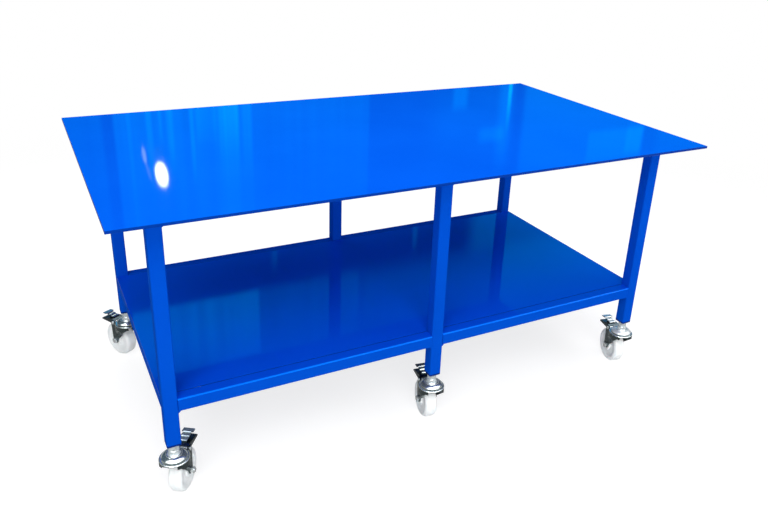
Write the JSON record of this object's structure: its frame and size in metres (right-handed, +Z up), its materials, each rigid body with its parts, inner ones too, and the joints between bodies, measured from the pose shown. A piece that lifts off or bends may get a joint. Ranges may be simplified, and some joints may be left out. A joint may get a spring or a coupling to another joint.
{
  "type": "assembly table",
  "caption": "Steel workshop assembly table: flat overhanging plate top on square tube legs, with a lower shelf, standing on braked swivel castors.",
  "frame": {"origin": "on the floor, under the middle of the table top", "axes": "+X along the table's long side, +Y from front to back, +Z up"},
  "size_m": [1.9, 1.05, 0.895],
  "materials": {
    "top_paint": "gloss enamel",
    "frame_paint": "gloss enamel",
    "shelf_paint": "gloss enamel",
    "zinc": "bright zinc plate",
    "zinc_pressing": "bright zinc plate",
    "fastener_zinc": "bright zinc plate",
    "brake_steel": "zinc plate",
    "nylon": "moulded, slightly glossy"
  },
  "bodies": {
    "table": {"table_top": "top_paint", "shelf_panel": "shelf_paint", "leg_foot_plates": "frame_paint", "leg_front_left": "frame_paint", "leg_front_middle": "frame_paint", "leg_front_right": "frame_paint", "leg_back_left": "frame_paint", "leg_back_middle": "frame_paint", "leg_back_right": "frame_paint", "shelf_rail_front_left": "frame_paint", "shelf_rail_front_right": "frame_paint", "shelf_rail_back_left": "frame_paint", "shelf_rail_back_right": "frame_paint", "shelf_rail_end_left": "frame_paint", "shelf_rail_middle": "frame_paint", "shelf_rail_end_right": "frame_paint", "top_rail_front_left": "frame_paint", "top_rail_front_right": "frame_paint", "top_rail_back_left": "frame_paint", "top_rail_back_right": "frame_paint", "top_rail_end_left": "frame_paint", "top_rail_middle": "frame_paint", "top_rail_end_right": "frame_paint", "castor_front_left_stem": "zinc", "castor_front_left_head": "zinc", "castor_front_middle_stem": "zinc", "castor_front_middle_head": "zinc", "castor_front_right_stem": "zinc", "castor_front_right_head": "zinc", "castor_back_left_stem": "zinc", "castor_back_left_head": "zinc", "castor_back_middle_stem": "zinc", "castor_back_middle_head": "zinc", "castor_back_right_stem": "zinc", "castor_back_right_head": "zinc"},
    "front_left_fork": {"castor_front_left_fork": "zinc_pressing", "castor_front_left_axle": "fastener_zinc"},
    "front_left_wheel": {"castor_front_left_wheel": "nylon"},
    "front_left_pedal": {"castor_front_left_pedal": "brake_steel"},
    "front_middle_fork": {"castor_front_middle_fork": "zinc_pressing", "castor_front_middle_axle": "fastener_zinc"},
    "front_middle_wheel": {"castor_front_middle_wheel": "nylon"},
    "front_middle_pedal": {"castor_front_middle_pedal": "brake_steel"},
    "front_right_fork": {"castor_front_right_fork": "zinc_pressing", "castor_front_right_axle": "fastener_zinc"},
    "front_right_wheel": {"castor_front_right_wheel": "nylon"},
    "front_right_pedal": {"castor_front_right_pedal": "brake_steel"},
    "back_left_fork": {"castor_back_left_fork": "zinc_pressing", "castor_back_left_axle": "fastener_zinc"},
    "back_left_wheel": {"castor_back_left_wheel": "nylon"},
    "back_left_pedal": {"castor_back_left_pedal": "brake_steel"},
    "back_middle_fork": {"castor_back_middle_fork": "zinc_pressing", "castor_back_middle_axle": "fastener_zinc"},
    "back_middle_wheel": {"castor_back_middle_wheel": "nylon"},
    "back_middle_pedal": {"castor_back_middle_pedal": "brake_steel"},
    "back_right_fork": {"castor_back_right_fork": "zinc_pressing", "castor_back_right_axle": "fastener_zinc"},
    "back_right_wheel": {"castor_back_right_wheel": "nylon"},
    "back_right_pedal": {"castor_back_right_pedal": "brake_steel"}
  },
  "joints": [
    {"name": "front_left_swivel", "type": "hinge", "parent": "table", "child": "front_left_fork", "pos_m": [-0.83, -0.405, 0.15], "axis": [0, 0, 1], "continuous": true},
    {"name": "front_left_roll", "type": "hinge", "parent": "front_left_fork", "child": "front_left_wheel", "pos_m": [-0.80484, -0.36769, 0.0625], "axis": [-0.829, 0.5592, 0], "continuous": true},
    {"name": "front_left_brake", "type": "hinge", "parent": "front_left_fork", "child": "front_left_pedal", "pos_m": [-0.80204, -0.36355, 0.134], "axis": [-0.829, 0.5592, 0], "range_deg": [0, 11]},
    {"name": "front_middle_swivel", "type": "hinge", "parent": "table", "child": "front_middle_fork", "pos_m": [0, -0.405, 0.15], "axis": [0, 0, 1], "continuous": true},
    {"name": "front_middle_roll", "type": "hinge", "parent": "front_middle_fork", "child": "front_middle_wheel", "pos_m": [0.00781, -0.36068, 0.0625], "axis": [-0.9848, 0.1736, 0], "continuous": true},
    {"name": "front_middle_brake", "type": "hinge", "parent": "front_middle_fork", "child": "front_middle_pedal", "pos_m": [0.00868, -0.35576, 0.134], "axis": [-0.9848, 0.1736, 0], "range_deg": [0, 11]},
    {"name": "front_right_swivel", "type": "hinge", "parent": "table", "child": "front_right_fork", "pos_m": [0.83, -0.405, 0.15], "axis": [0, 0, 1], "continuous": true},
    {"name": "front_right_roll", "type": "hinge", "parent": "front_right_fork", "child": "front_right_wheel", "pos_m": [0.84089, -0.36134, 0.0625], "axis": [-0.9703, 0.2419, 0], "continuous": true},
    {"name": "front_right_brake", "type": "hinge", "parent": "front_right_fork", "child": "front_right_pedal", "pos_m": [0.8421, -0.35649, 0.134], "axis": [-0.9703, 0.2419, 0], "range_deg": [0, 11]},
    {"name": "back_left_swivel", "type": "hinge", "parent": "table", "child": "back_left_fork", "pos_m": [-0.83, 0.405, 0.15], "axis": [0, 0, 1], "continuous": true},
    {"name": "back_left_roll", "type": "hinge", "parent": "back_left_fork", "child": "back_left_wheel", "pos_m": [-0.85182, 0.44436, 0.0625], "axis": [-0.8746, -0.4848, 0], "continuous": true},
    {"name": "back_left_brake", "type": "hinge", "parent": "back_left_fork", "child": "back_left_pedal", "pos_m": [-0.85424, 0.44873, 0.134], "axis": [-0.8746, -0.4848, 0], "range_deg": [0, 11]},
    {"name": "back_middle_swivel", "type": "hinge", "parent": "table", "child": "back_middle_fork", "pos_m": [0, 0.405, 0.15], "axis": [0, 0, 1], "continuous": true},
    {"name": "back_middle_roll", "type": "hinge", "parent": "back_middle_fork", "child": "back_middle_wheel", "pos_m": [-0.00626, 0.44956, 0.0625], "axis": [-0.9903, -0.1392, 0], "continuous": true},
    {"name": "back_middle_brake", "type": "hinge", "parent": "back_middle_fork", "child": "back_middle_pedal", "pos_m": [-0.00696, 0.45451, 0.134], "axis": [-0.9903, -0.1392, 0], "range_deg": [0, 11]},
    {"name": "back_right_swivel", "type": "hinge", "parent": "table", "child": "back_right_fork", "pos_m": [0.83, 0.405, 0.15], "axis": [0, 0, 1], "continuous": true},
    {"name": "back_right_roll", "type": "hinge", "parent": "back_right_fork", "child": "back_right_wheel", "pos_m": [0.84539, 0.44729, 0.0625], "axis": [-0.9397, 0.342, 0], "continuous": true},
    {"name": "back_right_brake", "type": "hinge", "parent": "back_right_fork", "child": "back_right_pedal", "pos_m": [0.8471, 0.45198, 0.134], "axis": [-0.9397, 0.342, 0], "range_deg": [0, 11]}
  ]
}
